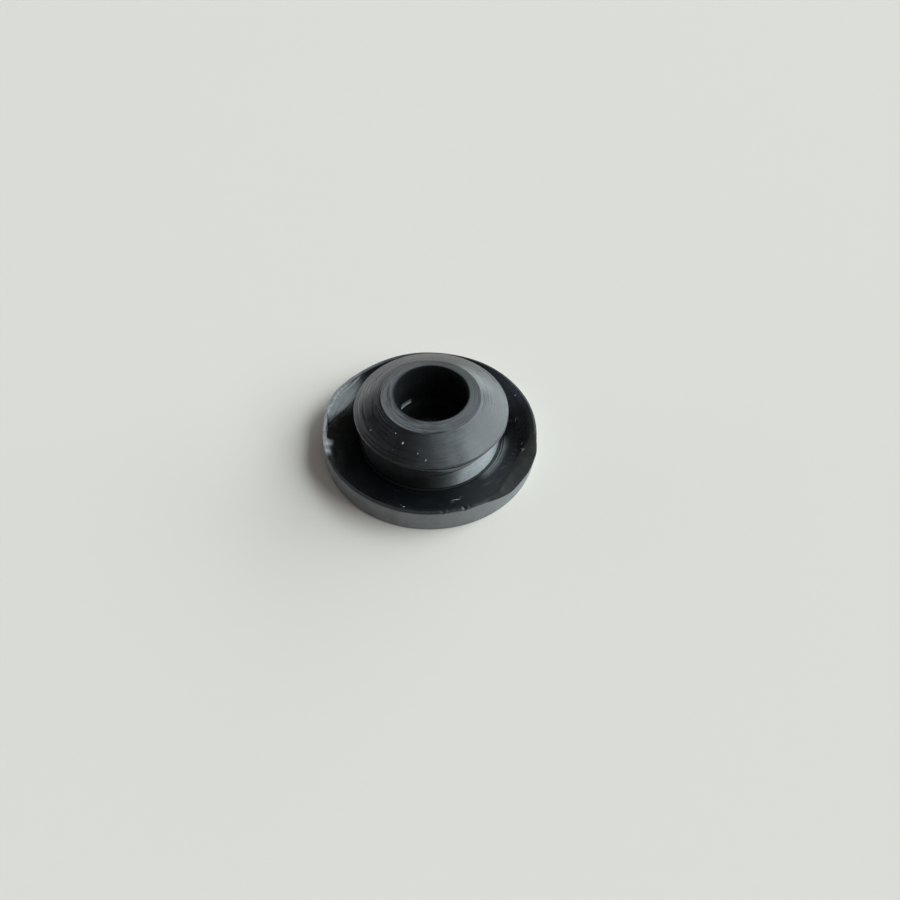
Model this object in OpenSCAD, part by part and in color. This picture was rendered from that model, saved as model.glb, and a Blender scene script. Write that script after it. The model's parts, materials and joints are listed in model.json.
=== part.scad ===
// Push-in rubber grommet, moulded in one piece.
// It is one closed section turned about the bore's axis: a dished flange, a neck that a panel
// closes on, a thin overhanging lip, a conical nose and a stepped bore. A knife cut and a
// dent then take their bites out of the flange's rim.
// Lengths are in millimetres, and angles are in degrees from +X towards +Y. The origin is the
// centre of the flat base, and +Z runs up the bore to the nose.

/* [Flange] */
// Diameter of the flange
flange_d = 25; // [23:0.5:32]
// Height of the rim above the base
rim_h = 3; // [2.6:0.1:4]
// Width of the narrow flat on top of the rim
rim_land = 0.35; // [0.2:0.05:0.8]
// Thickness left under the dish, at the foot of the neck
web_h = 1.6; // [1:0.1:2.2]
// How hollow the dish is: 1 is a straight cone, and more sags towards the neck
dish_power = 1.25; // [1:0.05:2]

/* [Neck and lip] */
// Diameter of the neck, which is the size of the panel hole
neck_d = 16.3; // [14:0.1:17]
// Gap between the rim and the lip, which the panel fills
panel_gap = 2.95; // [1.5:0.05:5]
// How far the lip overhangs the neck
lip_reach = 0.7; // [0.4:0.05:1.4]
// Height of the lip's upright edge
lip_band = 0.4; // [0.2:0.05:0.8]

/* [Nose] */
// Height of the nose from the lip's underside to its tip
nose_h = 2.9; // [2.2:0.1:5]
// Width of the flatter crown round the bore's mouth
crown_w = 1.35; // [0.8:0.05:2]
// How far the crown falls from the bore's mouth to its outer edge
crown_drop = 0.55; // [0.2:0.05:1]

/* [Bore] */
// Diameter of the bore
bore_d = 8.5; // [6:0.1:9.5]
// Width of the ledge at the bottom of the bore
ledge_w = 0.75; // [0.3:0.05:1.2]
// Height of the ledge above the base
ledge_h = 3.4; // [2:0.1:5]

/* [Edges] */
// Radius on the outer edges of the base and the lip
edge_r = 0.15; // [0.05:0.01:0.18]
// Radius where the nose turns from band to cone and from cone to crown
nose_r = 0.3; // [0.1:0.05:0.4]
// Fillet at both ends of the neck
neck_fillet = 0.3; // [0.1:0.05:0.35]

/* [Rim damage] */
// Direction of the knife cut in the rim
cut_at = -31; // [-180:1:180]
// Height left under the cut at the flange's edge
cut_low = 1.75; // [1.2:0.05:2.4]
// Radius of the cut's hollow
cut_r = 10; // [6:0.5:14]
// How steeply the cut falls outwards
cut_slope = 15; // [8:1:25]
// Direction of the dent in the rim
dent_at = 177; // [-180:1:180]
// Depth of the dent below the rim
dent_depth = 0.35; // [0.1:0.05:0.6]
// Radius of the dent's hollow
dent_r = 1.6; // [0.8:0.1:3]

/* [Hidden] */
$fn = 96;

// Straight steps in one rounded corner, and in the dish's curve
corner_steps = 5;
dish_steps = 8;

flange_r = flange_d / 2;
neck_r = neck_d / 2;
lip_r = neck_r + lip_reach;
bore_r = bore_d / 2;
through_r = bore_r - ledge_w;
crown_r = bore_r + crown_w;
lip_h = rim_h + panel_gap;
height = lip_h + nose_h;

// The dish runs from the rim's narrow flat in to the neck
dish_outer_r = flange_r - rim_land;
dish_rise = rim_h - web_h;

// Length of the tools that bite into the rim, and the clear gap they keep from the lip
bite_gap = 0.4;
bite_len = flange_r - lip_r - bite_gap;

function unit(v) = v / norm(v);

// Points that round the corner at b, between a and c, with an arc of radius r
function rounded(a, b, c, r) =
    let (
        u = unit(a - b),
        v = unit(c - b),
        half = acos(u * v) / 2,
        centre = b + unit(u + v) * r / sin(half),
        from = b + u * r / tan(half) - centre,
        to = b + v * r / tan(half) - centre,
        turn = atan2(from.x * to.y - from.y * to.x, from * to)
    )
    [for (i = [0 : corner_steps])
        let (t = turn * i / corner_steps)
        centre + [from.x * cos(t) - from.y * sin(t), from.x * sin(t) + from.y * cos(t)]];

// Height of the dish's surface where t runs from 0 at the neck to 1 at the rim
function dish_point(t) = [
    neck_r + t * (dish_outer_r - neck_r),
    web_h + dish_rise * pow(t, dish_power)
];

// The dish from the rim inwards, without its two ends
dish = [for (i = [dish_steps - 1 : -1 : 1]) dish_point(i / dish_steps)];
dish_foot = dish_point(0);
dish_top = dish_point(1);

base_in = [through_r, 0];
base_out = [flange_r, 0];
rim_out = [flange_r, rim_h];
lip_in = [neck_r, lip_h];
lip_low = [lip_r, lip_h];
lip_top = [lip_r, lip_h + lip_band];
crown_out = [crown_r, height - crown_drop];
mouth = [bore_r, height];
ledge_out = [bore_r, ledge_h];
ledge_in = [through_r, ledge_h];

// Half of the section, from the base round the outside and down the bore
section = concat(
    [base_in],
    rounded(base_in, base_out, rim_out, edge_r),
    [rim_out, dish_top],
    dish,
    rounded(dish[len(dish) - 1], dish_foot, lip_in, neck_fillet),
    rounded(dish_foot, lip_in, lip_low, neck_fillet),
    rounded(lip_in, lip_low, lip_top, edge_r),
    rounded(lip_low, lip_top, crown_out, nose_r),
    rounded(lip_top, crown_out, mouth, nose_r),
    [mouth, ledge_out, ledge_in]
);

// The moulding as it leaves its mould
module moulded_body() {
    rotate_extrude()
        polygon(section);
}

// A round tool of radius r that lies along a radius of the flange, at angle at, and falls
// outwards by slope. Its underside meets the flange's edge at height low.
module rim_bite(at, low, r, slope) {
    rotate([0, 0, at])
        translate([flange_r, 0, low])
            rotate([0, slope, 0])
                translate([-bite_len / cos(slope), 0, r])
                    rotate([0, 90, 0])
                        cylinder(r = r, h = 2 * bite_len);
}

module grommet() {
    color("#1d1e20")
        difference() {
            moulded_body();
            rim_bite(cut_at, cut_low, cut_r, cut_slope);
            rim_bite(dent_at, rim_h - dent_depth, dent_r, 0);
        }
}

grommet();
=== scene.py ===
# %% [markdown]
# # A push-in rubber grommet
# The real thing is one moulding of black rubber: a dished flange, a neck that snaps into a panel, a lip, a
# conical nose and a stepped bore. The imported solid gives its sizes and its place. This lesson builds its
# skin again as one fine surface, with the knife cut, the fold, the nicks, the turning lines and the bloom
# that a plain solid can't carry.

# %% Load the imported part
import json
import math

import bpy
import numpy as np
from mathutils import Matrix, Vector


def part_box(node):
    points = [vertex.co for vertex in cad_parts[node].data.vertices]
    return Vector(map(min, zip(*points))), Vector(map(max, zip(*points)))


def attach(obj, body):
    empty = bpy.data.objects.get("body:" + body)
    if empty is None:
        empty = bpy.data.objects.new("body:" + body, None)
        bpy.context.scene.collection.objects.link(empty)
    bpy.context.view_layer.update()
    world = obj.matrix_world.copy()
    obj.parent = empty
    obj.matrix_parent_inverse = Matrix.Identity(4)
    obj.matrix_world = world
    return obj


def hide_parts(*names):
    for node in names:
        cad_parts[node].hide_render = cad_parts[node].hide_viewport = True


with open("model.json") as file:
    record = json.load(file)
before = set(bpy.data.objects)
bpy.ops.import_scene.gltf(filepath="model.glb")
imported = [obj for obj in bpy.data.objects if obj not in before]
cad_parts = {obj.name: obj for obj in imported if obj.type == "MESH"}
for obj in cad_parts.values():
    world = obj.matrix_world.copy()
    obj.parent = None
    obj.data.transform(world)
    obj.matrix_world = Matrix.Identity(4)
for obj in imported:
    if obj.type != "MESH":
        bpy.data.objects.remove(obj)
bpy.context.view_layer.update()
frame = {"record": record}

# %% [markdown]
# ## Sizes of the section
# The mould was turned on a lathe, so every size is a radius or a height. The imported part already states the
# bore, the neck and the overall box, so those are read from it and can't drift. The rest are the section's
# own sizes.

# %% Sizes, in millimetres
MM = 0.001
mounts = {mount["name"]: mount["dims"] for mount in frame["record"]["mounts"]}
box_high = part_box("grommet")[1] / MM

flange_r = box_high.x
height = box_high.z
bore_r = mounts["bore"]["r_mm"]
ledge_h = height - mounts["bore"]["length_mm"]
through_r = mounts["through_hole"]["r_mm"]
neck_r = mounts["panel_groove"]["r_mm"]

rim_h = 3.0
rim_land = 0.35
rim_in = flange_r - rim_land
web_h = 1.6
dish_power = 1.25
lip_h = rim_h + mounts["panel_groove"]["length_mm"]
lip_reach = 0.7
lip_r = neck_r + lip_reach
lip_band = 0.4
crown_w = 1.35
crown_r = bore_r + crown_w
crown_drop = 0.55
print(f"flange radius {flange_r:.2f}, height {height:.2f}, bore radius {bore_r:.2f}, ledge at {ledge_h:.2f}")

# %% [markdown]
# ## The section as one closed line
# A section is a loop of corners. Each corner is rounded by an arc, and the stretches between the arcs get
# more points where the surface will carry fine detail. The dish is the one stretch that isn't straight: it
# sags between the rim and the neck. A Bezier curve could be drawn for it, but points that are worked out
# can be spaced as needed and know which stretch they belong to. The loop never touches the axis, so the
# turned surface has no poles to close.

# %% Helpers for the section
def unit(v):
    """A vector of length one in the same direction."""
    return v / np.linalg.norm(v)


def rounded(before, corner, after, radius, count):
    """An arc tangent to both sides of a corner.

    The circle's centre lies on the bisector, at radius / sin(half the angle) from the corner.
    """
    u, v = unit(before - corner), unit(after - corner)
    half = math.acos(float(u @ v)) / 2
    centre = corner + unit(u + v) * radius / math.sin(half)
    start = corner + u * radius / math.tan(half) - centre
    end = corner + v * radius / math.tan(half) - centre
    turn = np.linspace(0, math.atan2(start[0] * end[1] - start[1] * end[0], start @ end), count)
    across = start[0] * np.cos(turn) - start[1] * np.sin(turn)
    upward = start[0] * np.sin(turn) + start[1] * np.cos(turn)
    return centre + np.stack([across, upward], 1)


def dish_height(r):
    """Height of the dish: it rises from the neck to the rim as a power of the way across."""
    across = np.clip((r - neck_r) / (rim_in - neck_r), 0, 1)
    return web_h + (rim_h - web_h) * across**dish_power


# %% The corners
# Each corner: radius, height, rounding, points on its arc, name of the stretch after it, points on that
CORNERS = [
    (through_r, 0, 0.1, 2, "base", 3),
    (flange_r, 0, 0.15, 4, "wall", 14),
    (flange_r, rim_h, 0.12, 5, "land", 4),
    (rim_in, rim_h, 0.12, 4, "dish", 42),
    (neck_r, web_h, 0.08, 4, "neck", 32),
    (neck_r, lip_h, 0.15, 3, "under_lip", 3),
    (lip_r, lip_h, 0.1, 4, "band", 7),
    (lip_r, lip_h + lip_band, 0.2, 5, "cone", 54),
    (crown_r, height - crown_drop, 0.2, 6, "crown", 20),
    (bore_r, height, 0.08, 5, "bore", 8),
    (bore_r, ledge_h, 0.12, 4, "ledge", 3),
    (through_r, ledge_h, 0.05, 3, "through", 3),
]
# The dish's direction at its two ends is taken this far in from them
DISH_LEAD = 0.6

corner_at = np.array([corner[:2] for corner in CORNERS])
toe = np.array([neck_r + DISH_LEAD, dish_height(neck_r + DISH_LEAD)])
shoulder = np.array([rim_in - DISH_LEAD, dish_height(rim_in - DISH_LEAD)])
arcs = []
for i, (_, _, rounding, arc_points, name, _) in enumerate(CORNERS):
    before = toe if name == "neck" else corner_at[i - 1]
    after = shoulder if name == "dish" else corner_at[(i + 1) % len(CORNERS)]
    arcs.append(rounded(before, corner_at[i], after, rounding, arc_points))
print(f"{len(arcs)} rounded corners")

# %% The loop, stretch by stretch
NOSE_SWELL = 0.07

points, stretches = [], []
for i, (_, _, _, arc_points, name, count) in enumerate(CORNERS):
    start, end = arcs[i][-1], arcs[(i + 1) % len(CORNERS)][0]
    way = np.linspace(0, 1, count + 2)[1:-1, None]
    if name == "dish":
        way = 0.5 * way + 0.25 * (1 - np.cos(np.pi * way))
    run = start + way * (end - start)
    if name == "dish":
        run[:, 1] = dish_height(run[:, 0])
    if name == "cone":
        run[:, 1:] += NOSE_SWELL * 4 * way * (1 - way)
    points += [arcs[i], run]
    stretches += [name] * (arc_points + count)

section = np.concatenate(points)
stretch = np.array(stretches)
hops = np.linalg.norm(section - np.roll(section, 1, axis=0), axis=1)
travel = np.cumsum(hops) - hops[0]
ahead = np.roll(section, -1, axis=0) - np.roll(section, 1, axis=0)
outward = np.stack([ahead[:, 1], -ahead[:, 0]], 1) / np.linalg.norm(ahead, axis=1)[:, None]
print(f"section of {len(section)} points, {travel[-1]:.1f} mm round")

# %% [markdown]
# ## Turning the section
# Every point of the skin has two parameters: its place along the section and its angle round the axis. Two
# arrays hold radius and height for the whole grid, so each detail below is one line of arithmetic on them.
# A Screw modifier would turn the section too, but with equal steps. Here the directions are closer together
# where the rim is damaged: they are equal steps of a density summed round the circle.

# %% The grid
ANGLES = 408
WORN_SIDE, CUT_SIDE = 177, -50


def hump(off, width):
    """A smooth hump of height one: e to the minus square of the distance over the width."""
    return np.exp(-((off / width) ** 2))


even = np.linspace(-180, 180, 3601)
from_worn = (even - WORN_SIDE + 180) % 360 - 180
density = 1 + 2 * hump(from_worn, 25) + 1.2 * hump(even - CUT_SIDE, 40)
summed = np.concatenate([[0], np.cumsum(density[:-1])])
degrees = np.interp(np.linspace(0, summed[-1], ANGLES + 1)[:-1], summed, even)[None, :]
angle = np.radians(degrees)

radius = np.repeat(section[:, :1], ANGLES, axis=1)
level = np.repeat(section[:, 1:], ANGLES, axis=1)
on = {name: (stretch == name)[:, None] for name in dict.fromkeys(stretches)}
print(f"grid of {radius.shape[0]} by {radius.shape[1]} points")

# %% [markdown]
# ## The knife cut in the rim
# Someone trimmed the rim with a knife. The cut starts in the rim's edge, dives to half the wall's height
# and runs out again, so two lines give it: the height it leaves at the outer edge, and how far in it
# reaches. Between them its face is nearly flat. A Boolean would cut it too, but with long thin faces. Here
# the skin is lowered to that face, and a soft minimum keeps the edges slightly round.

# %% Helpers for directions and soft edges
def apart(at):
    """Signed angle in degrees from a direction in degrees, between -180 and 180."""
    return (degrees - at + 180) % 360 - 180


def ease(t):
    """Smooth step from 0 to 1."""
    t = np.clip(t, 0, 1)
    return t * t * (3 - 2 * t)


def between(first, last, soft):
    """One between two directions in degrees, with a smooth fade over the given angle outside each."""
    off = np.abs(apart((first + last) / 2)) - (last - first) / 2
    return 1 - ease(off / soft)


def lower_of(a, b, soft):
    """Soft minimum: half of (a + b) less the root of (a - b) squared plus the softness squared."""
    return 0.5 * (a + b - np.sqrt((a - b) ** 2 + soft**2))


def smooth_line(table, soft):
    """A line through a table of directions and values: its mean over the given angle on both sides."""
    return np.mean([np.interp(degrees + step, *table) for step in np.linspace(-soft, soft, 9)], axis=0)


def waves(seed, lowest, highest, count):
    """A smooth ring of noise, scaled to about one.

    It sums sines with whole numbers of waves round the axis and seeded phases.
    """
    dice = np.random.default_rng(seed)
    number = dice.integers(lowest, highest + 1, count)[:, None]
    phase = dice.uniform(0, 2 * np.pi, count)[:, None]
    return np.sin(number * angle + phase).sum(0, keepdims=True) / math.sqrt(count)


# %% The cut's face
# Tables by direction in degrees: the height that is left at the edge, and the radius where the cut's
# face meets the dish
CUT_EDGE_H = (
    [-59, -52, -46, -41, -37, -32, -24, -14, -4, 4],
    [3.05, 2.6, 2.1, 1.74, 1.76, 1.95, 2.25, 2.6, 2.9, 3.05],
)
CUT_INNER_R = ([-58, -51, -41, -32, -24, -13, -7, 0], [12.45, 12.2, 11.55, 11.2, 11.35, 11.5, 12.05, 12.45])
CUT_SOFT = 0.2
FAR_ABOVE = 20.0

on_top = on["land"] | on["dish"]
top = np.where(radius > rim_in, rim_h, dish_height(radius))
edge_h = smooth_line(CUT_EDGE_H, 3) + 0.015 * waves(11, 40, 90, 5)
inner_r = smooth_line(CUT_INNER_R, 4) + 0.07 * waves(12, 20, 60, 5)
cut_rise = np.maximum(dish_height(inner_r) - edge_h, 0.05)
cut_face = edge_h + cut_rise * (flange_r - radius) / (flange_r - inner_r)
cut_face = np.where(between(-58, 1, 1) > 0, cut_face, FAR_ABOVE)
cut_drop = np.maximum(top - lower_of(top, cut_face, CUT_SOFT), 0) * between(-55, -6, 4)
print(f"the cut takes up to {cut_drop.max():.2f} mm off the rim")

# %% [markdown]
# ## The folded side of the rim
# Opposite the cut the soft flange is bent up along a straight fold, so its outer part tilts towards the
# window and catches its light. A lattice could bend it, but the distance past the fold, seen from above,
# gives the lift directly. A soft maximum rounds the fold itself, and faint streaks run along it.

# %% The fold
FOLD_FROM, FOLD_TO = np.array([-9.57, 4.56]), np.array([-12.07, 0.08])
FOLD_SLOPE, FOLD_SOFT = 0.2, 0.25
FOLD_STREAK_H = 0.0025

along_fold = unit(FOLD_TO - FOLD_FROM)
past_x, past_y = radius * np.cos(angle) - FOLD_FROM[0], radius * np.sin(angle) - FOLD_FROM[1]
past_fold = past_x * along_fold[1] - past_y * along_fold[0]
fold_lift = FOLD_SLOPE * 0.5 * (past_fold + np.sqrt(past_fold**2 + FOLD_SOFT**2))
fold_lift = np.where(radius > lip_r, fold_lift * ease((degrees % 360 - 132) / 26), 0)
fold_streaks = np.sin(13 * past_fold) + np.sin(17 * past_fold + 1.3) + 0.6 * np.sin(23 * past_fold + 2)
fold_lift = fold_lift + FOLD_STREAK_H * fold_streaks * np.clip(fold_lift / 0.1, 0, 1)
print(f"the fold lifts the rim by up to {fold_lift[on_top[:, 0]].max():.2f} mm")

# %% [markdown]
# ## Wear round the rim
# Along the fold the outer edge is rubbed round and pushed out a little. A slit opens where the fold ends,
# and the rubber next to it is scuffed. Along the front the moulded edge is ragged from tearing off its
# flash. Sculpting would do for one look, but here each is a height added to the flange's top, as a function
# of direction and radius, so it can be measured and changed.

# %% Rubbed edge and slit
RUB_DEPTH, RUB_WIDTH = 0.26, 0.7
SLIT_DEPTH, SLIT_R = 0.34, flange_r - 0.36

whole_turn = degrees % 360
worn = between(150, 186, 9)
rubbed = RUB_DEPTH * worn * ease((radius - (flange_r - RUB_WIDTH)) / RUB_WIDTH) ** 2
slit_wide = 0.05 + 0.15 * ease((whole_turn - 171) / 11)
slit_depth = SLIT_DEPTH * between(174, 182.6, 2) * ease((whole_turn - 168) / 14)
slit = slit_depth * hump(radius - SLIT_R, slit_wide)
print(f"the edge is rubbed by {rubbed[on_top[:, 0]].max():.2f} mm, the slit is {slit.max():.2f} mm deep")

# %% Scuffed patch
SCUFF_INNER_R = ([178, 184, 188, 193, 198, 204, 210], [12.2, 11.8, 11.5, 11.6, 11.85, 12.15, 12.4])
SCUFF_H = 0.035

scuff_inner = np.interp(whole_turn, *SCUFF_INNER_R) + 0.2 * waves(17, 12, 40, 6)
scuff_patchy = 0.85 + 0.2 * waves(20, 50, 130, 6)
scuff_mask = between(192.5, 200, 3.5) * ease((radius - scuff_inner) / 0.9 + 0.5) * scuff_patchy
scuff_lift = SCUFF_H * scuff_mask * (1 + 0.6 * waves(13, 50, 120, 6))
print(f"the scuff stands up to {scuff_lift.max():.3f} mm high")

# %% Ragged front edge
# Each nick: direction and width in degrees, and depth
NICKS = [(-81.5, 0.7, 0.14), (-78.6, 0.5, 0.08), (-70.3, 0.8, 0.2), (-67.4, 0.5, 0.1), (-88, 0.5, 0.06)]
RIM_WIDTH = 0.55

torn = np.clip(0.3 + waves(19, 9, 27, 5), 0, 2)
ragged = between(-104, -56, 12) * (0.022 * torn * waves(14, 60, 150, 12) + 0.02 * waves(15, 12, 40, 5))
nicks = sum(depth * hump(apart(at), width) for at, width, depth in NICKS)
rim_part = ease((radius - (flange_r - RIM_WIDTH)) / 0.2)
uneven = 0.07 * between(-160, -75, 40) + 0.03 * waves(16, 2, 9, 6)
off_cut = 1 - np.clip(cut_drop / 0.1, 0, 1)
print(f"{len(NICKS)} nicks, up to {nicks.max():.2f} mm deep")

# %% The flange with all of it
TORN_REACH = 0.7

bulge = 0.22 * between(154, 166, 14) + 0.3 * between(-25, -16, 12)
top_change = fold_lift + scuff_lift - slit - rubbed + rim_part * (uneven + ragged - nicks) * off_cut
drop = cut_drop - top_change
rim_drop = drop[on["land"][:, 0]][:1]
level = np.where(on_top, level - drop, level)
level = np.where(on["wall"], level * (1 - rim_drop / rim_h), level)
pushed_out = bulge * ease((radius - neck_r - 2) / 2.2) * ease(level / rim_h)
radius = np.where(on["wall"] | on_top, radius + pushed_out, radius)
cut_mask = np.where(on_top, between(-56, -5, 5) * ease((radius - inner_r + TORN_REACH) / TORN_REACH), 0)
print(f"wear lifts up to {top_change.max():.2f} mm and takes up to {-top_change.min():.2f} mm")

# %% [markdown]
# ## The lip
# The lip's lower edge hangs down where flash was left on it at the front, most at one side. A fine crease
# parts the lip's upright edge from the cone, and another runs across the neck below the flash. Both are
# grooves in the mesh. They are finer than its grid, so the height above the crease is kept as well, and the
# finish paints a crisp dark line of shade along it, the shade that falls into the crease.

# %% Flash and creases
FLASH = ([-118, -104, -92, -84, -76, -67, -61, -54, -44], [0.0, 0.12, 0.24, 0.48, 0.66, 0.58, 0.42, 0.2, 0.0])
NECK_CREASE_H = ([-95, -80, -67, -60, -54], [3.9, 4.05, 4.4, 4.45, 4.65])

hang = smooth_line(FLASH, 4) + 0.03 * waves(18, 30, 80, 5) * between(-110, -55, 15)
low_part = np.where(on["band"], (lip_h + lip_band - level) / lip_band, 0)
low_part = np.where(on["under_lip"], (radius - neck_r) / (lip_r - neck_r), low_part)
lip_crease_h = lip_h + lip_band * 0.62
neck_crease_h = np.interp(degrees, *NECK_CREASE_H)
lip_crease = np.where(on["band"], hump(level - lip_crease_h, 0.05), 0) * between(-150, -30, 30)
neck_crease = np.where(on["neck"], hump(level - neck_crease_h, 0.1), 0) * between(-86, -60, 6)
print(f"flash hangs up to {hang.max():.2f} mm")

# %% Lines of painted shade along the creases
# Height above the nearest crease, and half the width of its line of painted shade. Stretches without a crease
# stay clear of zero
seam = np.where(on["band"], level - lip_crease_h, np.where(on["neck"], level - neck_crease_h, 1.0))
seam = np.where(on["dish"], -1.0, np.where(on["under_lip"], -0.3, seam))
seam_wide = np.where(on["neck"], 0.06 * between(-88, -56, 8), 0.07 * between(-140, -20, 30))
level = level - hang * low_part
radius = radius - 0.05 * lip_crease - 0.06 * neck_crease
print(f"lines up to {2 * seam_wide.max():.2f} mm wide")

# %% [markdown]
# ## Turning lines
# The mould's cone kept fine rings from the lathe, and rubber copies them. They are a few thousandths of a
# millimetre high, but raking light shows them. Each is moved along the section's own normal, so the rings
# follow the slope. The dish and the crown have fainter ones, the crown's outer edge stands up as a fine
# ridge, and a groove with a few rings runs round the foot of the neck.

# %% Rings
RING_H, LEFT_RING_H = 0.002, 0.0035


def ripples(seed, shortest, longest, count):
    """Lines along the section, scaled to about one.

    They sum sines of the distance travelled, with seeded wavelengths and phases.
    """
    dice = np.random.default_rng(seed)
    length = dice.uniform(shortest, longest, count)[:, None]
    phase = dice.uniform(0, 2 * np.pi, count)[:, None]
    return (np.sin(2 * np.pi * travel / length + phase).sum(0) / math.sqrt(count))[:, None]


rings = ripples(3, 0.2, 0.55, 9) * (1 + 0.35 * waves(4, 1, 4, 4))
cone_left = between(125, 225, 35)
ring_height = np.where(on["crown"] | on["dish"], RING_H, 0)
ring_height = np.where(on["cone"], RING_H + LEFT_RING_H * cone_left, ring_height)
ridge = np.where(on["crown"], hump(radius - crown_r, 0.07), 0) * (0.012 + 0.02 * between(110, 235, 30))
step_part = np.where(on["cone"], cone_left * hump(radius - crown_r - 0.35, 0.45), 0)
print(f"rings up to {np.abs(ring_height * rings).max() * 1000:.1f} micrometres high")

# %% The foot of the neck
FOOT_RING_DEPTH, FOOT_GROOVE_DEPTH = 0.015, 0.1

foot_rings = np.cos(2 * np.pi * (radius - neck_r - 0.28) / 0.31) * hump(radius - neck_r - 0.55, 0.4)
foot_lines = np.clip(foot_rings, 0, 1)
foot_groove = hump(radius - neck_r - 0.1, 0.08)
lift = ring_height * rings + ridge
lift = lift - np.where(on["dish"], FOOT_RING_DEPTH * foot_lines + FOOT_GROOVE_DEPTH * foot_groove, 0)
radius = radius + outward[:, :1] * lift
level = level + outward[:, 1:] * lift
print(f"rings, ridge and groove up to {np.abs(lift).max():.3f} mm")

# %% [markdown]
# ## The skin as a mesh
# The grid closes on itself both ways, so rolling the table of point numbers by one gives each quad its
# neighbours, with no seam and no pole. The nose of this soft moulding sits a little off the flange's
# centre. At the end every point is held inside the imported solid's box.

# %% Places and quads
NOSE_SHIFT = 0.16

rise = np.clip((level - web_h) / (lip_h - web_h), 0, 1)
inward = np.clip((flange_r - radius) / (flange_r - lip_r), 0, 1)
shift = NOSE_SHIFT * inward * rise * rise * (3 - 2 * rise)
place = np.stack([radius * np.cos(angle) + shift, radius * np.sin(angle), level], -1).reshape(-1, 3)
place = np.clip(place, [-flange_r, -flange_r, 0], [flange_r, flange_r, height]) * MM

number = np.arange(radius.size).reshape(radius.shape)
beside, above = np.roll(number, -1, axis=1), np.roll(number, -1, axis=0)
quads = np.stack([number, beside, np.roll(above, -1, axis=1), above], -1).reshape(-1, 4)
print(f"{len(place)} points, {len(quads)} quads")


# %% The mesh
def make_mesh(name, vertices, faces):
    """A mesh of quads from whole arrays, shaded smooth."""
    mesh = bpy.data.meshes.new(name)
    mesh.vertices.add(len(vertices))
    mesh.vertices.foreach_set("co", vertices.astype(np.float32).ravel())
    mesh.loops.add(faces.size)
    mesh.loops.foreach_set("vertex_index", faces.astype(np.int32).ravel())
    mesh.polygons.add(len(faces))
    mesh.polygons.foreach_set("loop_start", np.arange(0, faces.size, 4, dtype=np.int32))
    mesh.polygons.foreach_set("use_smooth", np.ones(len(faces), dtype=bool))
    mesh.update(calc_edges=True)
    mesh.validate()
    return mesh


skin_mesh = make_mesh("grommet_skin", place, quads)
skin = bpy.data.objects.new("grommet_skin", skin_mesh)
bpy.context.scene.collection.objects.link(skin)
print(f"skin of {len(skin_mesh.polygons)} quads")

# %% [markdown]
# ## Where the rubber is dull, polished or marked, and where light and shade are painted
# It is one rubber all over, but the mould was polished in the dish and turned on the nose, and the outside
# has a grey bloom from handling. Painting that on would need a UV map. The grid already knows its stretch
# and its direction, so each of these is one number at each of its points, which the finish reads by its
# name.
# Some of these numbers also paint light and shade: lit sides, shade in creases, a reflection, a sheen and a
# glint.

# %% What each stretch starts from
BLOOM = {
    "base": 0.8, "wall": 1.0, "land": 0.12, "dish": 0.008, "neck": 0.09, "under_lip": 0.03,
    "band": 0.2, "cone": 0.05, "crown": 0.95, "bore": 0.0, "ledge": 0.0, "through": 0.0,
}
ROUGH = {
    "base": 0.6, "wall": 0.4, "land": 0.4, "dish": 0.21, "neck": 0.45, "under_lip": 0.45,
    "band": 0.35, "cone": 0.3, "crown": 0.58, "bore": 0.6, "ledge": 1.0, "through": 0.9,
}
TURNED = {"cone": 0.6, "crown": 1.1, "dish": 0.3, "band": 0.3, "neck": 0.3, "wall": 0.1}


def by_stretch(table):
    """One number for each point of the section, from a table by stretch, as a column."""
    return np.array([table.get(name, 0.0) for name in stretches])[:, None]


print(f"bloom and gloss for {len(BLOOM)} stretches")

# %% Bloom, painted light and painted shade
# Tables by direction in degrees
RIM_FILM = ([-120, -100, -60, -24, -10, 28, 55], [0, 0.03, 0.02, 0.03, 0.14, 0.14, 0])
# The cone's bloom is paler at the front-right and on the left: partly bloom, partly painted light where
# lamplight falls
CONE_BLOOM_AND_LIGHT = (
    [-115, -90, -74, -58, -42, -30, -12, 5, 25, 45, 70],
    [0, 0.17, 0.46, 0.47, 0.18, 0.12, 0.03, 0, 0.09, 0.05, 0],
)

# Painted reflection: a pale band in the dish at the right of the neck's foot stands for the lit neck mirrored
# there
painted_foot_reflection = hump(radius - neck_r - 0.6, 0.4) * between(-36, -12, 14) * (1 - 0.85 * foot_lines)
rim_film = np.interp(degrees, *RIM_FILM) * ease((radius - 11.3) / 0.8)
cone_bloom_and_light = np.interp(degrees, *CONE_BLOOM_AND_LIGHT) + 0.15 * between(170, 215, 25) * ease((radius - 7.2) / 1.2)
# Painted light and shade: the crown's bloom is much paler on its left and front and darker on its right and
# back
crown_bloom_and_light = 0.4 + 0.07 * np.cos(2 * angle) - 0.375 * np.cos(angle) - 0.23 * np.sin(angle)
# Painted shade: the wall's bloom is darker on its front-left, the side turned away from the window
wall_shade = 1 - 0.3 * between(195, 240, 25)
# Painted shade: on the neck the bloom and the pale fade out just above its foot, where shade falls between
# neck and dish
above_foot = np.where(on["neck"], ease((level - web_h - 0.1) / 0.25), 1)
# Painted shade in the neck's crease: most of the bloom and the pale is taken away along it
off_crease = 1 - 0.8 * neck_crease

bloom = by_stretch(BLOOM) + np.where(on["dish"], 1.1 * painted_foot_reflection + rim_film, 0)
bloom = bloom * np.where(on["crown"], crown_bloom_and_light, 1) * np.where(on["wall"], wall_shade, 1)
bloom = bloom + np.where(on["cone"], cone_bloom_and_light, 0)
# Painted light: the lip's upright band is paler on its right, where the window lights it
bloom = bloom + np.where(on["band"], 0.8 * between(-72, 30, 16), 0)
bloom = bloom + np.where(on["land"], 0.2 * between(-14, 40, 15), 0)
bloom = bloom * above_foot * off_crease
print(f"bloom from {bloom.min():.2f} to {bloom.max():.2f}")

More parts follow.
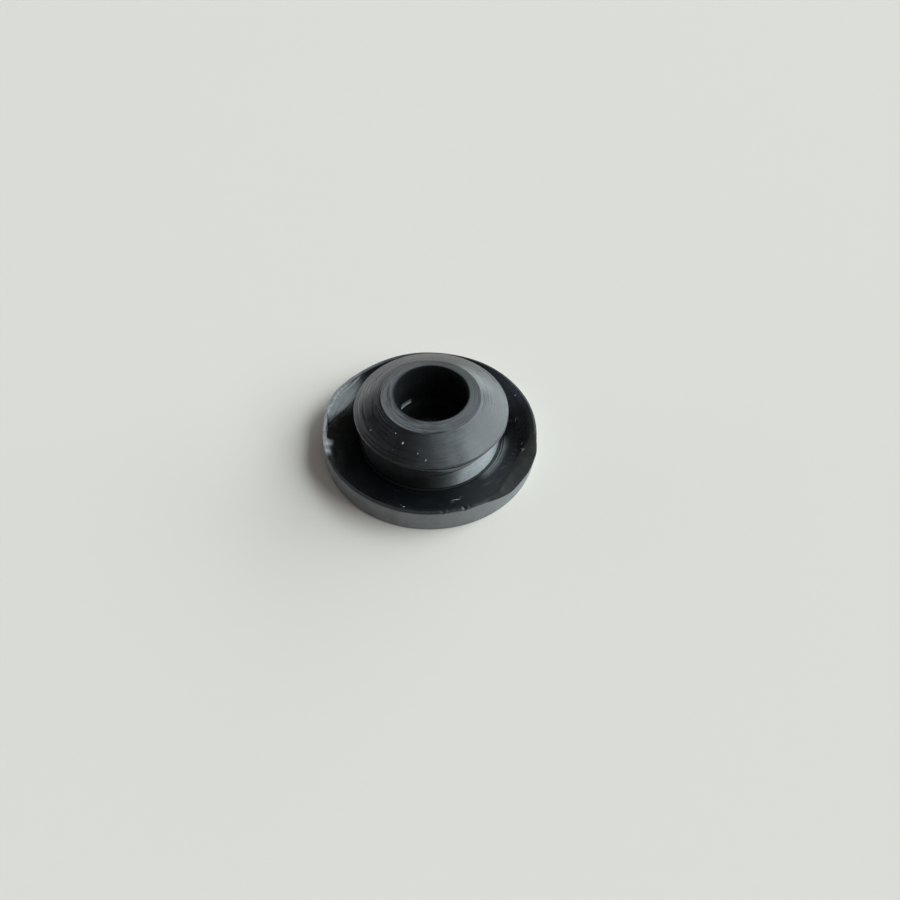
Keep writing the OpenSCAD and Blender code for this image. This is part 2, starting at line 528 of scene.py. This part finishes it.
# %% Gloss
on_fold = np.where(on["dish"], np.clip(fold_lift / 0.08, 0, 1), 0)
fold_end = ease((past_x * along_fold[0] + past_y * along_fold[1] - 3.5) / 1.6)
polished = np.where(on["dish"], 0.06 * between(120, 240, 40) - 0.2 * between(-100, -38, 20), 0)
matte = by_stretch(ROUGH) + 0.3 * (1 - above_foot) - polished + (0.04 + 0.35 * fold_end) * on_fold
print(f"roughness from {matte.min():.2f} to {matte.max():.2f}")

# %% Rubbed places, painted highlights and painted light
# Tables by direction in degrees
# The neck is pale on the window's side and dark on its shaded front-left: partly pale bloom, partly painted
# light
NECK_RUB_AND_LIGHT = (
    [-100, -90, -80, -72, -67, -62, -56, -43, -32, -20, -8, 10, 60],
    [0, 0.03, 0.13, 0.3, 0.58, 0.98, 1, 0.95, 0.85, 0.5, 0.2, 0.07, 0],
)
# The rim's outer edge on the left, and the top of the wall below it, are painted paler
RIM_PALE = ([95, 130, 150, 162, 178, 184, 190, 197, 202], [0, 0.25, 0.4, 0.7, 0.95, 0.85, 0.9, 0.5, 0])

neck_rub_and_light = np.interp(degrees, *NECK_RUB_AND_LIGHT) * above_foot * off_crease
rim_pale = np.interp(whole_turn, *RIM_PALE) * ease((radius - (flange_r - RIM_WIDTH)) / 0.2)
wall_pale = 0.7 * worn * ease((level - 1.6) / 0.9)
# Painted highlight: a short pale arc on the ledge's outer corner in the bore, where the window's light
# catches it
ledge_glint = between(127, 144, 4) * ease((radius - bore_r + 0.105) / 0.04)
# Painted sheen: pale streaks along the fold stand for streaks in the window's reflection there
fold_sheen_streaks = 0.12 * on_fold * np.clip(fold_streaks, 0, 2)
scuff = np.where(on_top, np.maximum(np.maximum(1.1 * scuff_mask, rim_pale), fold_sheen_streaks), 0)
scuff = scuff + np.where(on["neck"], neck_rub_and_light, 0)
scuff = scuff + np.where(on["ledge"], ledge_glint, 0) + np.where(on["wall"], wall_pale, 0)
print(f"rubbed on {(scuff > 0.5).mean():.0%} of the points")

# %% Turned and smeared places
near_foot = hump(radius - neck_r - 0.5, 0.45)
turned = by_stretch(TURNED) + np.where(on["cone"], 0.45 * cone_left - 0.4 * between(-130, -45, 25), 0)
turned = turned + np.where(on["dish"], 0.7 * near_foot, 0)
# Painted shade: dark lines in the steps on the cone's left, and across the painted reflection at the neck's
# foot
stepped = step_part + np.where(on["dish"], near_foot * between(-75, 10, 20), 0)
smeared = np.where(on["dish"], 0.01 + 0.06 * between(-50, 50, 25), 0)
print(f"turning lines up to {turned.max():.2f} strong")

# %% Store the numbers on the mesh
NUMBERS = {
    "travel": travel[:, None], "bloom": bloom, "matte": matte, "turned": turned,
    "scuff": np.clip(scuff, 0, 1), "cut": cut_mask, "steps": stepped, "smear": smeared,
    "seam": seam, "seam_wide": seam_wide,
}
for name, values in NUMBERS.items():
    stored = skin_mesh.attributes.new(name, "FLOAT", "POINT")
    stored.data.foreach_set("value", np.broadcast_to(values, radius.shape).astype(np.float32).ravel())
print("numbers:", list(NUMBERS))

# %% [markdown]
# ## Patterns
# Four patterns serve the finish, each a node group: cloudy patches, rings that follow the section, fine
# hairs of scratches, and one short stroke for a speck of dust or a scratch at a known place. Pictures of
# worn rubber could do the same, but they would need a UV map and would blur close up. The groups read
# object coordinates in metres, so a scale of 1000 means one repeat in a millimetre.

# %% Node helpers
def put(tree, kind, settings=None, **inputs):
    """Adds a node, sets its own settings, and fills its inputs with values or links.

    An input is named by its label, or as in0, in1 and so on by its number.
    """
    node = tree.nodes.new("ShaderNode" + kind)
    for key, value in (settings or {}).items():
        setattr(node, key, value)
    for key, value in inputs.items():
        socket = node.inputs[int(key[2:]) if key.startswith("in") else key]
        if isinstance(value, bpy.types.NodeSocket):
            tree.links.new(value, socket)
        else:
            socket.default_value = value
    return node


def sums(tree, operation, first, second):
    """One arithmetic step on two numbers or outputs."""
    return put(tree, "Math", {"operation": operation}, in0=first, in1=second).outputs[0]


def spread(tree, value, from_low, from_high, to_low, to_high):
    """Moves a number from one range to another and stops at its ends."""
    ends = {"in1": from_low, "in2": from_high, "in3": to_low, "in4": to_high}
    return put(tree, "MapRange", {"clamp": True}, in0=value, **ends).outputs[0]


def vector(tree, operation, **inputs):
    """One step of vector arithmetic."""
    return put(tree, "VectorMath", {"operation": operation}, **inputs).outputs[0]


# %% Group helpers
def new_group(name, inputs):
    """An empty group of shader nodes with number sockets, and one output called Value."""
    group = bpy.data.node_groups.new(name, "ShaderNodeTree")
    for label, default in inputs.items():
        socket = group.interface.new_socket(label, in_out="INPUT", socket_type="NodeSocketFloat")
        socket.default_value = default
    group.interface.new_socket("Value", in_out="OUTPUT", socket_type="NodeSocketFloat")
    return group, group.nodes.new("NodeGroupInput").outputs, put(group, "TexCoord").outputs["Object"]


def finish_group(group, value):
    """Links a group's result to its output."""
    group.links.new(value, group.nodes.new("NodeGroupOutput").inputs["Value"])
    print("pattern:", group.name)


# %% Cloudy patches
patches, given, where = new_group("cloudy_patches", {"Scale": 1000, "Detail": 3})
noise = put(patches, "TexNoise", None, Vector=where, Scale=given["Scale"], Detail=given["Detail"])
finish_group(patches, spread(patches, noise.outputs["Fac"], 0.3, 0.7, 0, 1))

# %% Rings that follow the section
ring_lines, given, where = new_group("ring_lines", {"Lines": 3, "Wander": 1})
around = vector(ring_lines, "NORMALIZE", in0=vector(ring_lines, "MULTIPLY", in0=where, in1=(1, 1, 0)))
wander = vector(ring_lines, "SCALE", in0=around, in3=given["Wander"])
along = put(ring_lines, "Attribute", {"attribute_name": "travel"}).outputs["Fac"]
counted = sums(ring_lines, "MULTIPLY", along, given["Lines"])
lines = put(ring_lines, "CombineXYZ", None, in2=counted).outputs[0]
place_on_ring = vector(ring_lines, "ADD", in0=wander, in1=lines)
noise = put(ring_lines, "TexNoise", None, Vector=place_on_ring, Scale=1, Detail=2)
finish_group(ring_lines, spread(ring_lines, noise.outputs["Fac"], 0.3, 0.7, 0, 1))

# %% Hairs of scratches
ALONG_HAIR, ACROSS_HAIR = 350, 9000

hairs, given, where = new_group("scratch_hairs", {"Turn": 0.6, "Amount": 0.7})
about_z = {"rotation_type": "Z_AXIS"}
turned_way = put(hairs, "VectorRotate", about_z, Vector=where, Angle=given["Turn"]).outputs[0]
long_way = vector(hairs, "MULTIPLY", in0=turned_way, in1=(ALONG_HAIR, ACROSS_HAIR, ALONG_HAIR))
noise = put(hairs, "TexNoise", None, Vector=long_way, Scale=1, Detail=1)
most = sums(hairs, "ADD", given["Amount"], 0.06)
finish_group(hairs, spread(hairs, noise.outputs["Fac"], given["Amount"], most, 0, 1))

# %% One stroke
STROKE_DEEP = 0.5

strokes, given, where = new_group("stroke", {"X": 0, "Y": 0, "Z": 0, "Turn": 0, "Length": 0.1, "Width": 0.05})
in_mm = vector(strokes, "SCALE", in0=where, in3=1 / MM)
noise = put(strokes, "TexNoise", None, Vector=in_mm, Scale=14, Detail=2).outputs["Color"]
wobble = vector(strokes, "MULTIPLY_ADD", in0=noise, in1=(0.05, 0.05, 0), in2=in_mm)
centre = put(strokes, "CombineXYZ", None, X=given["X"], Y=given["Y"], Z=given["Z"]).outputs[0]
off = vector(strokes, "SUBTRACT", in0=wobble, in1=centre)
turned_off = put(strokes, "VectorRotate", about_z, Vector=off, Angle=given["Turn"]).outputs[0]
half_sizes = put(strokes, "CombineXYZ", None, X=given["Length"], Y=given["Width"], Z=STROKE_DEEP).outputs[0]
share = vector(strokes, "DIVIDE", in0=turned_off, in1=half_sizes)
away = put(strokes, "VectorMath", {"operation": "LENGTH"}, in0=share).outputs["Value"]
finish_group(strokes, spread(strokes, away, 0.4, 1, 1, 0))

# %% [markdown]
# ## The rubber
# Carbon-black rubber reflects less than one part in a hundred by itself. Bloom lifts it to a cool dark
# grey, a knife cut shows a browner inside, rubbed places and dust are pale. Roughness follows the polish of
# the mould, and a slight bump gives the pebbled skin and the finest rings, which are too small for the
# mesh. It is one material, because the real part is one moulding, and the numbers on the mesh tell it where
# it is.
# The grey and the pale also paint light and shade where the numbers on the mesh say so.

# %% The material and its patterns
def new_material(name):
    """A new node material, its tree and its Principled shader."""
    material = bpy.data.materials.new(name)
    material.use_nodes = True
    return material, material.node_tree, material.node_tree.nodes["Principled BSDF"]


def use(tree, group, **inputs):
    """Adds a group to a tree with its own values, and returns its result."""
    node = tree.nodes.new("ShaderNodeGroup")
    node.node_tree = group
    for key, value in inputs.items():
        node.inputs[key].default_value = value
    return node.outputs["Value"]


rubber, tree, shader = new_material("black_rubber")
read = {name: put(tree, "Attribute", {"attribute_name": name}).outputs["Fac"] for name in NUMBERS}
cloud = use(tree, patches, Scale=650.0, Detail=4.0)
mottle = use(tree, patches, Scale=2600.0, Detail=5.0)
pebble = use(tree, patches, Scale=9000.0, Detail=2.0)
ring = use(tree, ring_lines, Lines=4.0, Wander=1.6)
streak = use(tree, ring_lines, Lines=7.5, Wander=2.5)
hair_a = use(tree, hairs, Turn=0.6, Amount=0.66)
hair_b = use(tree, hairs, Turn=-0.9, Amount=0.68)
hair = sums(tree, "MAXIMUM", hair_a, hair_b)
print(f"rubber reads {len(read)} numbers")

# %% [markdown]
# ## Dust and scratches
# The specks on the nose and the scratches in the dish are at known places, so each is one stroke of its
# own: a short blurred bar, placed by its direction and radius and turned in plan. Scattered noise would put
# them anywhere.

# %% Marks at known places
# Each mark: direction in degrees, radius, turn of its stroke in degrees, half its length and width, strength
MARKS = [
    (-114.2, 6.97, 20, 0.16, 0.13, 1.0), (-125.1, 6.4, 80, 0.12, 0.07, 0.7), (-99, 7.58, 40, 0.1, 0.08, 0.6),
    (-92.1, 8.11, 85, 0.16, 0.06, 0.8), (-147.4, 7.76, 10, 0.13, 0.08, 0.6), (-120, 7.9, 60, 0.07, 0.05, 0.4),
    (-102.1, 11.68, 30, 0.16, 0.09, 0.7), (-104, 11.5, 70, 0.1, 0.05, 0.5), (28.9, 11.64, 0, 0.14, 0.09, 0.6),
    (-72, 10.47, 11.5, 0.7, 0.045, 0.8), (-74.8, 10.78, 14, 0.4, 0.03, 0.35),
    (-68.2, 10.2, 9, 0.35, 0.03, 0.3), (-14.2, 11.2, 50, 0.36, 0.05, 0.6),
    (-13.4, 11.05, -35, 0.22, 0.04, 0.5), (-9, 10.9, 62, 0.3, 0.035, 0.3), (-31, 9.9, 35, 0.5, 0.035, 0.25),
    (-48, 10.1, 28, 0.6, 0.03, 0.25), (12, 10.4, 78, 0.5, 0.035, 0.25),
]


def cone_height(r):
    """Height of the cone: a straight line from the lip to the crown's edge."""
    foot = lip_h + lip_band
    return foot + (height - crown_drop - foot) * (lip_r - r) / (lip_r - crown_r)


mark = 0.0
for at, r, turn, half_long, half_wide, strength in MARKS:
    on_nose = r < lip_r
    a = math.radians(at)
    stroke = use(
        tree, strokes, X=r * math.cos(a) + NOSE_SHIFT * on_nose, Y=r * math.sin(a),
        Z=float(cone_height(r) if on_nose else dish_height(r)),
        Turn=-math.radians(turn), Length=half_long, Width=half_wide,
    )
    mark = sums(tree, "MAXIMUM", mark, sums(tree, "MULTIPLY", stroke, strength))
print(f"{len(MARKS)} marks")

# %% [markdown]
# ## Colour, gloss and relief
# The film of bloom and painted light is built up first: its clouds, its rings, the smears and hairs in the
# dish, and the dark lines of painted shade along the creases and steps. Then come the colours, from the black
# below to the dust on top. Gloss and relief reuse the same patterns, so a scratch is pale, dull and raised in
# the same place.

# %% Helpers for mixing
def times(tree, first, *others):
    """The product of several numbers or outputs."""
    for other in others:
        first = sums(tree, "MULTIPLY", first, other)
    return first


def plus(tree, first, *others):
    """The sum of several numbers or outputs."""
    for other in others:
        first = sums(tree, "ADD", first, other)
    return first


def less(tree, first, second):
    """The difference of two numbers or outputs."""
    return sums(tree, "SUBTRACT", first, second)


def mixed(tree, amount, low, high):
    """A number between two numbers, by an amount from 0 to 1."""
    return put(tree, "Mix", None, in0=amount, in2=low, in3=high).outputs[0]


def blend(tree, amount, low, high):
    """A colour between two colours, by an amount from 0 to 1."""
    return put(tree, "Mix", {"data_type": "RGBA"}, in0=amount, in6=low, in7=high).outputs[2]


# %% Its film of bloom, painted light and painted shade
STEP_SPACING = 0.27
LEAST_WIDTH = 0.0001

ring_shade = times(tree, read["turned"], spread(tree, ring, 0, 1, -0.55, 0.55))
streak_shade = times(tree, read["turned"], spread(tree, streak, 0, 1, -0.35, 0.35))
film_light_and_shade = times(tree, read["bloom"], spread(tree, cloud, 0, 1, 0.78, 1.22))
film_light_and_shade = times(tree, film_light_and_shade, spread(tree, pebble, 0, 1, 0.85, 1.15))
film_light_and_shade = times(tree, film_light_and_shade, plus(tree, 1.0, plus(tree, ring_shade, streak_shade)))
smear = times(tree, spread(tree, cloud, 0.4, 1, 0, 1), spread(tree, mottle, 0.2, 1, 0, 1))
smear = times(tree, smear, spread(tree, streak, 0.25, 0.75, 0.3, 1.9))
film_light_and_shade = plus(tree, film_light_and_shade, times(tree, smear, read["smear"]), times(tree, hair, 0.05))
crease_distance = sums(tree, "ABSOLUTE", read["seam"], 0.0)
line = sums(tree, "DIVIDE", crease_distance, plus(tree, read["seam_wide"], LEAST_WIDTH))
# Painted shade: a dark line along each crease, where shade falls into it
film_light_and_shade = times(tree, film_light_and_shade, spread(tree, line, 0.4, 1, 0.03, 1))
# Painted shade: dark lines along the steps
step_wave = sums(tree, "SINE", times(tree, read["travel"], 2 * math.pi / STEP_SPACING), 0.0)
step = times(tree, spread(tree, step_wave, 0.3, 1, 0, 1), read["steps"])
film_light_and_shade = times(tree, film_light_and_shade, spread(tree, step, 0, 1, 1, 0.2))
print(f"film of {len(tree.nodes)} nodes so far")

# %% Its colour
RUBBER_BLACK = (0.003, 0.0038, 0.0052, 1)
GREY_BLOOM_AND_LIGHT = (0.19, 0.2, 0.212, 1)
CUT_BROWN = (0.012, 0.0113, 0.011, 1)
PALE_SCUFF_AND_LIGHT = (0.55, 0.585, 0.605, 1)
DUST_WHITE = (0.6, 0.62, 0.64, 1)

# The bloom grey also paints the lit places, and less of it paints the shaded ones
colour = blend(tree, film_light_and_shade, RUBBER_BLACK, GREY_BLOOM_AND_LIGHT)
colour = blend(tree, times(tree, read["cut"], spread(tree, cloud, 0, 1, 0.7, 1.0)), colour, CUT_BROWN)
least = spread(tree, read["matte"], 0.25, 0.4, 0.5, 0.8)
blotch = mixed(tree, spread(tree, mottle, 0.15, 0.65, 0, 1), least, 1.0)
grain = times(tree, blotch, spread(tree, streak, 0, 0.8, 0.75, 1.0))
# The same painted crease shade darkens the pale places too
scuffed_and_lit = times(tree, read["scuff"], grain, spread(tree, line, 0.4, 1, 0.05, 1))
# Pale for scuffs, and for the painted light, sheen and glint
colour = blend(tree, scuffed_and_lit, colour, PALE_SCUFF_AND_LIGHT)
colour = blend(tree, mark, colour, DUST_WHITE)
tree.links.new(colour, shader.inputs["Base Color"])
print("colour set")

# %% Its gloss
SCUFF_ROUGH, CUT_ROUGH = 0.6, 0.9
WEAK_MIRROR = 0.41

rough = plus(tree, read["matte"], spread(tree, cloud, 0, 1, -0.03, 0.03), times(tree, ring_shade, 0.2))
rough = mixed(tree, sums(tree, "MAXIMUM", read["scuff"], mark), rough, SCUFF_ROUGH)
rough = mixed(tree, read["cut"], rough, CUT_ROUGH)
tree.links.new(rough, shader.inputs["Roughness"])
shader.inputs["Specular IOR Level"].default_value = WEAK_MIRROR
print("gloss set")

# %% Its fine relief
# Heights in millimetres
dull = spread(tree, read["matte"], 0.2, 0.6, 0.1, 1)
lathe = plus(tree, times(tree, ring, 0.008), times(tree, streak, 0.004))
relief = times(tree, lathe, read["turned"])
relief = less(tree, relief, times(tree, step, 0.022))
relief = less(tree, relief, spread(tree, line, 0, 1, 0.03, 0))
relief = plus(tree, relief, times(tree, pebble, dull, 0.003), times(tree, streak, read["scuff"], 0.006))
relief = plus(tree, relief, times(tree, mottle, read["cut"], 0.02))
relief = less(tree, relief, times(tree, hair, 0.0015))
relief = plus(tree, relief, times(tree, mark, 0.02))
bump = put(tree, "Bump", None, Strength=1.0, Distance=MM, Height=relief)
tree.links.new(bump.outputs["Normal"], shader.inputs["Normal"])
print(f"black rubber of {len(tree.nodes)} nodes")

# %% [markdown]
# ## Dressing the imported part
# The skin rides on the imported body, stands in for the plain solid and fills its one slot for a material.
# Joining the two would leave both surfaces in the same place, so the solid is replaced.

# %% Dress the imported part
skin_mesh.materials.append(rubber)
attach(skin, "root")
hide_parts("grommet")
print("the skin stands in for the packed grommet")

# %% [markdown]
# ## The floor
# A pale plain surface without gloss, wide enough to run out of sight. One quad is all it needs.

# %% Floor
FLOOR_HALF = 2.5
FLOOR_PALE = (0.815, 0.755, 0.695, 1)

floor_mesh = bpy.data.meshes.new("floor")
floor_corners = np.array([[-1, -1, 0], [1, -1, 0], [1, 1, 0], [-1, 1, 0]]) * FLOOR_HALF
floor_mesh.from_pydata(floor_corners.tolist(), [], [[0, 1, 2, 3]])
floor = bpy.data.objects.new("floor", floor_mesh)
bpy.context.scene.collection.objects.link(floor)
floor_material, _, floor_shader = new_material("pale_floor")
floor_shader.inputs["Base Color"].default_value = FLOOR_PALE
floor_shader.inputs["Roughness"].default_value = 0.9
floor_shader.inputs["Specular IOR Level"].default_value = 0.0
floor_mesh.materials.append(floor_material)
print(f"floor {2 * FLOOR_HALF:.0f} m wide")

# %% [markdown]
# ## Light
# The light is that of a room with one broad cool window on the right: upright panes, as a studio would
# stand its softboxes. The main pane is the window, and a low one carries it round to the back. A weak pane
# in front lights the neck's near side, two low glows on the left draw the far edge of the nose, and a faint
# blue one above them stands for the sky. Each pane is given by the angles that it spans, seen from the
# grommet.

# %% Panes
PANE_DISTANCE = 8.0
WINDOW_COOL, GLOW_COOL, SKY_BLUE = (0.88, 1.0, 1.03), (0.95, 1.0, 1.05), (0.7, 0.85, 1.2)


def pane(name, first, last, low, high, radiance, colour):
    """An upright lamp between two directions and two elevations in degrees.

    Its power is radiance times pi times area.
    """
    middle, half = math.radians((first + last) / 2), math.radians((last - first) / 2)
    foot, head = (PANE_DISTANCE * math.tan(math.radians(elevation)) for elevation in (low, high))
    lamp = bpy.data.lights.new(name, "AREA")
    lamp.shape = "RECTANGLE"
    lamp.size, lamp.size_y = 2 * PANE_DISTANCE * math.tan(half), head - foot
    lamp.energy = radiance * math.pi * lamp.size * lamp.size_y
    lamp.color = colour
    away = np.array([math.cos(middle), math.sin(middle), 0])
    stand = np.eye(4)
    stand[:3, 0], stand[:3, 1], stand[:3, 2] = [-away[1], away[0], 0], [0, 0, 1], away
    stand[:3, 3] = away * PANE_DISTANCE + [0, 0, (head + foot) / 2]
    lamp_object = bpy.data.objects.new(name, lamp)
    lamp_object.matrix_world = Matrix(stand)
    lamp_object.visible_camera = False
    bpy.context.scene.collection.objects.link(lamp_object)
    print(f"{name}: {lamp.size:.1f} m by {lamp.size_y:.1f} m, {lamp.energy:.0f} W")


pane("window_right", -36, 45, 22, 57, 5.7, WINDOW_COOL)
pane("low_right", 0, 80, 1, 22, 4.6, WINDOW_COOL)
pane("window_front", -70, -36, 52, 64, 1.4, WINDOW_COOL)
pane("glow_back_left", 92, 140, 1, 12, 1.8, GLOW_COOL)
pane("glow_left", 140, 190, 1, 14, 2.5, GLOW_COOL)
pane("sky_back_left", 134, 190, 50, 66, 0.5, SKY_BLUE)

# %% [markdown]
# ## The room
# A dim warm room fills the shadows. Behind the floor stands a pale backdrop, a low band of the world that
# gives no light: only the camera and mirroring or clear surfaces see it. Above it the black rubber mirrors
# the dim room, which keeps it black.

# %% Room and backdrop
ROOM_WARM, ROOM_STRENGTH = (1.0, 0.87, 0.68, 1), 0.08
BACKDROP_PALE = (0.72, 0.74, 0.7, 1)
BACKDROP_FULL, BACKDROP_END = math.sin(math.radians(12)), math.sin(math.radians(16))

world = bpy.data.worlds.new("dim_room")
world.use_nodes = True
room = world.node_tree
dim = room.nodes["Background"]
dim.inputs["Color"].default_value, dim.inputs["Strength"].default_value = ROOM_WARM, ROOM_STRENGTH
pale = put(room, "Background", None, Color=BACKDROP_PALE, Strength=1.0)
ray = put(room, "LightPath").outputs
mirrored = sums(room, "MAXIMUM", ray["Is Glossy Ray"], ray["Is Transmission Ray"])
seen = sums(room, "MAXIMUM", ray["Is Camera Ray"], mirrored)
upward = put(room, "SeparateXYZ", None, Vector=put(room, "TexCoord").outputs["Generated"]).outputs["Z"]
backdrop = times(room, seen, spread(room, upward, BACKDROP_FULL, BACKDROP_END, 1, 0))
either = put(room, "MixShader", None, in0=backdrop, in1=dim.outputs[0], in2=pale.outputs[0])
room.links.new(either.outputs[0], room.nodes["World Output"].inputs["Surface"])
bpy.context.scene.world = world
print(f"room at strength {ROOM_STRENGTH}")

# %% [markdown]
# ## Camera
# The photograph's own view: about fifty degrees above the table, eleven centimetres away. Its place is
# worked out from the point of the picture where the bore's axis meets the table.

# %% Camera
IMAGE_SIDE = 900
FOCAL_PX = 900
SENSOR = 36
PITCH, ROLL = math.radians(50.29), math.radians(1.32)
DISTANCE = 107.5 * MM
AXIS_FOOT_PX = (429.9, 443.4)

forward = np.array([0, math.cos(PITCH), -math.sin(PITCH)])
level_right = np.array([1.0, 0, 0])
level_up = np.cross(level_right, forward)
cam_right = math.cos(ROLL) * level_right + math.sin(ROLL) * level_up
cam_up = -math.sin(ROLL) * level_right + math.cos(ROLL) * level_up
aim = (
    forward
    + (AXIS_FOOT_PX[0] - IMAGE_SIDE / 2) / FOCAL_PX * cam_right
    - (AXIS_FOOT_PX[1] - IMAGE_SIDE / 2) / FOCAL_PX * cam_up
)
camera_data = bpy.data.cameras.new("camera")
camera_data.sensor_width = SENSOR
camera_data.lens = SENSOR * FOCAL_PX / IMAGE_SIDE
camera_data.clip_start = 0.001
camera = bpy.data.objects.new("camera", camera_data)
stand = np.eye(4)
stand[:3, 0], stand[:3, 1], stand[:3, 2], stand[:3, 3] = cam_right, cam_up, -forward, -aim * DISTANCE
camera.matrix_world = Matrix(stand)
bpy.context.scene.collection.objects.link(camera)
bpy.context.scene.camera = camera
bpy.context.scene.view_settings.view_transform = "Standard"
print(f"camera {DISTANCE / MM:.0f} mm away, lens {camera_data.lens:.0f} mm")
